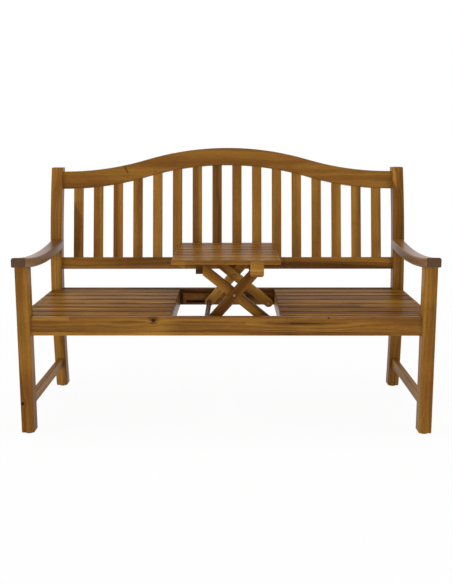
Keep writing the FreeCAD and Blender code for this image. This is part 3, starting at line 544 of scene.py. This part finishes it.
class BENCH_OT_long_rails(bpy.types.Operator):
    """Dress the front and the rear rail, glued up from narrow staves."""
    bl_idname = "bench.long_rails"
    bl_label = "Long rails"
    bl_options = {"REGISTER", "UNDO"}

    def execute(self, context):
        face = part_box("front_rail")[0][1]
        knots = ((-0.2495, face, 0.410, 7.0), (0.353, face, 0.418, 3.0))
        marks = ((-0.604, 0.416, 127.0, 13.0, 0.0, 0.3, 3.0), (0.145, 0.399, 150.0, 7.0, 0.0, 0.25, 4.0),
                 (0.02, 0.388, 420.0, 70.0, 0.0, -0.19, 30.0), (0.45, 0.388, 420.0, 70.0, 0.0, -0.17, 40.0),
                 (-0.45, 0.388, 420.0, 70.0, 0.0, -0.08, 40.0))
        dress(("front_rail",), acacia(
            "oiled_acacia_front_rail", ON_EDGE, stave=RAIL_STAVES, tone=0.46, spread=0.12, seed=11.0,
            knots=knots, marks=marks))
        dress(("rear_rail",), acacia(
            "oiled_acacia_rear_rail", ON_EDGE, stave=SHORT_RAIL_STAVES, tone=0.16, seed=12.0))
        return {"FINISHED"}


class BENCH_OT_side_rails(bpy.types.Operator):
    """Dress the side rails and the stretchers."""
    bl_idname = "bench.side_rails"
    bl_label = "Side rails and stretchers"
    bl_options = {"REGISTER", "UNDO"}

    def execute(self, context):
        dress(("side_rail_left", "side_rail_right", "side_stretcher_left", "side_stretcher_right"), acacia(
            "oiled_acacia_side_rails", FRONT_TO_BACK, LEFT_RIGHT_LOW_HIGH, RAIL_OR_STRETCHER, tone=0.45,
            oil=0.5, seed=17.0))
        return {"FINISHED"}


class BENCH_OT_back_rails(bpy.types.Operator):
    """Dress the arched crest and the low back rail."""
    bl_idname = "bench.back_rails"
    bl_label = "Back rails"
    bl_options = {"REGISTER", "UNDO"}

    def execute(self, context):
        shadow = (-0.52, 0.88, 260.0, 200.0, 0.0, -0.1, 60.0)
        crack = (-0.4145, 0.906, 14.0, 13.0, -1.75, -0.42, 4.0)
        dress(("crest_rail",), acacia(
            "oiled_acacia_crest", ALONG_THE_BACK, tone=0.46, spread=0.0, figure=0.5, seed=21.0,
            marks=(shadow, crack)))
        joint = (0.2323, 0.527, 5.0, 60.0, 0.0, -0.25, 2.0)
        patch = (-0.188, 0.520, 30.0, 22.0, -0.7, 0.25, 3.0)
        dress(("low_back_rail",), acacia(
            "oiled_acacia_low_back_rail", ALONG_THE_BACK, tone=0.33, spread=0.0, seed=24.0,
            marks=(joint, patch)))
        return {"FINISHED"}


class BENCH_OT_back_slats(bpy.types.Operator):
    """Dress the upright slats of the back."""
    bl_idname = "bench.back_slats"
    bl_label = "Back slats"
    bl_options = {"REGISTER", "UNDO"}

    def execute(self, context):
        nodes = ["back_slats_%d" % k for k in range(1, 9)]
        outer = [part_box(node)[1][0] - BACK_SLAT_WIDTH / 2 for node in nodes]
        middle = [-x for x in outer[::-1]] + outer
        marks = [(middle[slat] + across * MM, up, width, height, slope, change, BACK_SLAT_SOFTNESS)
                 for slat, across, up, width, height, slope, change in BACK_SLAT_MARKS]
        dress(nodes, acacia(
            "oiled_acacia_back_slats", IN_THE_BACK, LEFT_AND_RIGHT, EACH_BACK_SLAT, tone=0.47, spread=0.1,
            figure=0.55, seed=31.0, marks=marks))
        return {"FINISHED"}


class BENCH_OT_seat_slats(bpy.types.Operator):
    """Dress the slats of the two seats."""
    bl_idname = "bench.seat_slats"
    bl_label = "Seat slats"
    bl_options = {"REGISTER", "UNDO"}

    def execute(self, context):
        nodes = ["seat_slats_%d" % k for k in range(1, 8)]
        marks = ((-0.58, 0.42, 260.0, 60.0, 0.0, 0.12, 40.0), (-0.32, 0.42, 260.0, 60.0, 0.0, 0.07, 40.0),
                 (0.45, 0.42, 520.0, 60.0, 0.0, -0.05, 40.0))
        # The slats' sides in the gaps get painted shade, from the front of the first row back
        dress(nodes, acacia(
            "oiled_acacia_seat_slats", ALONG_X, LEFT_RIGHT_BY_ROW, EACH_ROW, SEAT_STAVES, tone=0.45,
            spread=0.2, figure=0.8, seed=41.0, oil=0.15, shade_gaps_behind=SEAT_ROW_START, marks=marks))
        return {"FINISHED"}


class BENCH_OT_bearers(bpy.types.Operator):
    """Dress the bearers under the seats."""
    bl_idname = "bench.bearers"
    bl_label = "Bearers"
    bl_options = {"REGISTER", "UNDO"}

    def execute(self, context):
        dress(("inner_bearer_left", "inner_bearer_right", "middle_bearers"), acacia(
            "oiled_acacia_bearers", FRONT_TO_BACK, LEFT_AND_RIGHT, EACH_BEARER, tone=0.38, seed=47.0))
        return {"FINISHED"}


class BENCH_OT_table_top(bpy.types.Operator):
    """Dress the slats of the table."""
    bl_idname = "bench.table_top"
    bl_label = "Table top"
    bl_options = {"REGISTER", "UNDO"}

    def execute(self, context):
        pale_corner = ((-0.165, 0.606, 50.0, 20.0, 0.0, 0.25, 12.0),)
        rear = ["table_slat_%d" % k for k in range(2, 8)]
        for name, nodes, marks in (("front_slat", ("table_slat_1",), pale_corner), ("slats", rear, ())):
            # The slats' sides in the gaps get painted shade, from the middle of the first gap back
            dress(nodes, acacia(
                "oiled_acacia_table_" + name, ALONG_X, ROW_BY_ROW, EACH_ROW, tone=0.39, spread=0.2,
                seed=53.0, oil=0.27, marks=marks, shade_gaps_behind=SEAT_ROW_START + SEAT_ROW_PITCH))
        return {"FINISHED"}


class BENCH_OT_table_bearers(bpy.types.Operator):
    """Dress the battens, the tab and the rear bracket of the table."""
    bl_idname = "bench.table_bearers"
    bl_label = "Table battens and tab"
    bl_options = {"REGISTER", "UNDO"}

    def execute(self, context):
        dress(("table_batten_left", "table_batten_right"), acacia(
            "oiled_acacia_battens", FRONT_TO_BACK, tone=0.24, spread=0.1, seed=59.0))
        dress(("table_tab", "table_rear_bracket"), acacia(
            "oiled_acacia_tab", ALONG_X, FRONT_AND_REAR, tone=0.54, spread=0.1, seed=61.0))
        return {"FINISHED"}


class BENCH_OT_crossed_legs(bpy.types.Operator):
    """Dress the crossed legs and the bar between them."""
    bl_idname = "bench.crossed_legs"
    bl_label = "Crossed legs"
    bl_options = {"REGISTER", "UNDO"}

    def execute(self, context):
        # Painted shadow of the table over the tops of the rear legs
        painted_table_shadow = ((0.03, 0.545, 160.0, 90.0, 0.0, -0.36, 25.0),)
        # The legs are one wood at unlike tones: the rear legs' pale tones are painted light against the
        # shade they stand in
        for name, turn, tone, seed, marks in (
                ("outer_leg_front", ALONG_OUTER_LEG, 0.19, 67.0, ()),
                ("outer_leg_rear", ALONG_OUTER_LEG, 0.62, 68.0, painted_table_shadow),
                ("inner_leg_front", ALONG_INNER_LEG, 0.40, 71.0, ()),
                ("inner_leg_rear", ALONG_INNER_LEG, 0.60, 72.0, painted_table_shadow)):
            dress((name,), acacia(
                "oiled_acacia_" + name, turn, tone=tone, spread=0.1, seed=seed, oil=0.5, marks=marks))
        dress(("spreader_bar",), acacia(
            "oiled_acacia_spreader", FRONT_TO_BACK, tone=0.40, spread=0.1, seed=73.0))
        return {"FINISHED"}


class BENCH_OT_blocks(bpy.types.Operator):
    """Dress the guide blocks and the hinge blocks."""
    bl_idname = "bench.blocks"
    bl_label = "Guides and hinge blocks"
    bl_options = {"REGISTER", "UNDO"}

    def execute(self, context):
        dress(("front_guide", "rear_guide", "hinge_blocks"), acacia(
            "oiled_acacia_blocks", ALONG_X, GUIDE_OR_BLOCK, tone=0.18, spread=0.2, seed=79.0))
        return {"FINISHED"}


class BENCH_OT_fittings(bpy.types.Operator):
    """Dress the bolts, pins, rod, screws, sleeves, glides and dowels."""
    bl_idname = "bench.fittings"
    bl_label = "Fittings"
    bl_options = {"REGISTER", "UNDO"}

    def execute(self, context):
        fittings = context.scene.bench_fittings
        dress(("cross_bolts", "frame_bolts", "table_pins", "slide_rod"),
              plated_steel("zinc_plated_steel", fittings.zinc))
        dress(("block_screws",), plated_steel("yellow_passivated_steel", fittings.passivated))
        dress(("foot_glides", "frame_spacers"), moulded_nylon())
        dress(("seat_dowels", "table_dowels"), turned_beech())
        return {"FINISHED"}


class BENCH_OT_stage(bpy.types.Operator):
    """Lay the pale floor, hang the lamps and set up the picture's camera."""
    bl_idname = "bench.stage"
    bl_label = "Stage"
    bl_options = {"REGISTER", "UNDO"}

    def execute(self, context):
        stage = context.scene.bench_stage
        self.floor(context, stage)
        self.daylight(context, stage)
        self.lamps(context, stage)
        self.camera(context)
        context.scene.view_settings.view_transform = "Standard"
        return {"FINISHED"}

    def floor(self, context, stage):
        """A flat floor: near the bench its own shading shows, and further off it fades to the white."""
        near, far = FLOOR_FADE
        corners = [(x * FLOOR_REACH, y * FLOOR_REACH, 0) for x, y in ((-1, -1), (1, -1), (1, 1), (-1, 1))]
        mesh = bpy.data.meshes.new("floor")
        mesh.from_pydata(corners, [], [(0, 1, 2, 3)])
        floor = bpy.data.objects.new("floor", mesh)
        context.scene.collection.objects.link(floor)
        made = new_material("pale_studio_floor")
        tree = made.node_tree
        away = add(tree, "TexCoord", out="Object")
        away = add(tree, "VectorMath", {0: away}, "Value", operation="LENGTH")
        fade = add(tree, "MapRange", {
            "Value": away, "From Min": near, "From Max": far, "To Min": 1 - stage.shadow, "To Max": 1.0},
            interpolation_type="SMOOTHSTEP")
        share = add(tree, "Math", {0: seen(tree), 1: fade}, operation="MULTIPLY")
        matt = add(tree, "BsdfDiffuse", {"Color": stage.floor})
        white = add(tree, "Emission", {"Color": WHITE, "Strength": 1.0})
        add(tree, "OutputMaterial", {0: add(tree, "MixShader", {0: share, 1: matt, 2: white})})
        mesh.materials.append(made)

    def daylight(self, context, stage):
        """Even light on the bench from all sides, and plain white behind it."""
        world = bpy.data.worlds.new("daylight")
        world.use_nodes = True
        context.scene.world = world
        tree = world.node_tree
        tree.nodes.clear()
        strength = add(tree, "MapRange", {"Value": seen(tree), "To Min": stage.daylight, "To Max": 1.0})
        sky = add(tree, "Background", {"Color": WHITE, "Strength": strength})
        add(tree, "OutputWorld", {0: sky})

    def lamps(self, context, stage):
        """A wide lamp low in front, which leaves the gaps between the slats dark, one on each side that
        lights the inner faces of the legs, a weaker one behind and one overhead. Only the white room shows
        in reflections."""
        for name, place, target, size, watts in (
                ("front_lamp", (-0.5, -4.2, 0.45), (0.0, 0.0, 0.5), (3.0, 1.2), stage.front),
                ("left_lamp", (-3.2, -1.4, 0.9), (0.0, 0.0, 0.5), (2.0, 1.6), stage.sides),
                ("right_lamp", (3.2, -1.4, 0.9), (0.0, 0.0, 0.5), (2.0, 1.6), stage.sides),
                ("rear_lamp", (0.5, 4.2, 0.9), (0.0, 0.0, 0.5), (3.0, 1.2), stage.rear),
                ("overhead_lamp", (0.0, 0.2, 3.4), (0.0, 0.0, 0.4), (3.0, 2.0), stage.overhead)):
            lamp = bpy.data.lights.new(name, "AREA")
            lamp.shape = "RECTANGLE"
            lamp.size, lamp.size_y = size
            lamp.energy = watts
            hung = bpy.data.objects.new(name, lamp)
            hung.location = place
            hung.rotation_euler = (Vector(target) - Vector(place)).to_track_quat("-Z", "Y").to_euler()
            hung.visible_glossy = False
            context.scene.collection.objects.link(hung)

    def camera(self, context):
        """The photograph's camera: its lens, its place and its small turn."""
        lens = bpy.data.cameras.new("picture_camera")
        lens.sensor_fit = "AUTO"
        lens.sensor_width = SENSOR_MM
        lens.lens = FOCAL_PIXELS / PICTURE_HEIGHT * SENSOR_MM
        lens.shift_y = (CENTRE_ROW - PICTURE_HEIGHT / 2) / PICTURE_HEIGHT
        lens.clip_start = 0.1
        lens.clip_end = 100.0
        camera = bpy.data.objects.new("picture_camera", lens)
        tilt = Euler((math.radians(90.0 - CAMERA_PITCH), 0.0, math.radians(CAMERA_YAW)))
        roll = Matrix.Rotation(math.radians(CAMERA_ROLL), 4, "Z")
        place = Matrix.Translation((CAMERA_ACROSS, CAMERA_DEPTH + FRONT_FACE, CAMERA_HEIGHT))
        camera.matrix_world = place @ (tilt.to_matrix().to_4x4() @ roll)
        context.scene.collection.objects.link(camera)
        context.scene.camera = camera


OPERATORS = (
    BENCH_OT_front_legs, BENCH_OT_rear_posts, BENCH_OT_arms, BENCH_OT_long_rails, BENCH_OT_side_rails,
    BENCH_OT_back_rails, BENCH_OT_back_slats, BENCH_OT_seat_slats, BENCH_OT_bearers, BENCH_OT_table_top,
    BENCH_OT_table_bearers, BENCH_OT_crossed_legs, BENCH_OT_blocks, BENCH_OT_fittings, BENCH_OT_stage)
SETTINGS = (
    ("bench_acacia", AcaciaSettings), ("bench_fittings", FittingSettings), ("bench_stage", StageSettings))


class BENCH_PT_finishes(bpy.types.Panel):
    """Lists the bench's settings and finishes."""
    bl_idname = "BENCH_PT_finishes"
    bl_label = "Companion seat"
    bl_space_type = "VIEW_3D"
    bl_region_type = "UI"
    bl_category = "Bench"

    def draw(self, context):
        for name, group in SETTINGS:
            box = self.layout.box()
            for key in group.__annotations__:
                box.prop(getattr(context.scene, name), key)
        for operator in OPERATORS:
            self.layout.operator(operator.bl_idname)


def register():
    """Add the settings to the scene, then the operators and the panel."""
    for name, group in SETTINGS:
        bpy.utils.register_class(group)
        setattr(bpy.types.Scene, name, bpy.props.PointerProperty(type=group))
    for made in OPERATORS + (BENCH_PT_finishes,):
        bpy.utils.register_class(made)


def unregister():
    """Take away what register added, in the opposite order."""
    for made in (BENCH_PT_finishes,) + OPERATORS[::-1]:
        bpy.utils.unregister_class(made)
    for name, group in SETTINGS[::-1]:
        delattr(bpy.types.Scene, name)
        bpy.utils.unregister_class(group)


def main():
    """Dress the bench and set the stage."""
    register()
    for operator in OPERATORS:
        family, name = operator.bl_idname.split(".")
        getattr(getattr(bpy.ops, family), name)()


if __name__ == "__main__":
    main()
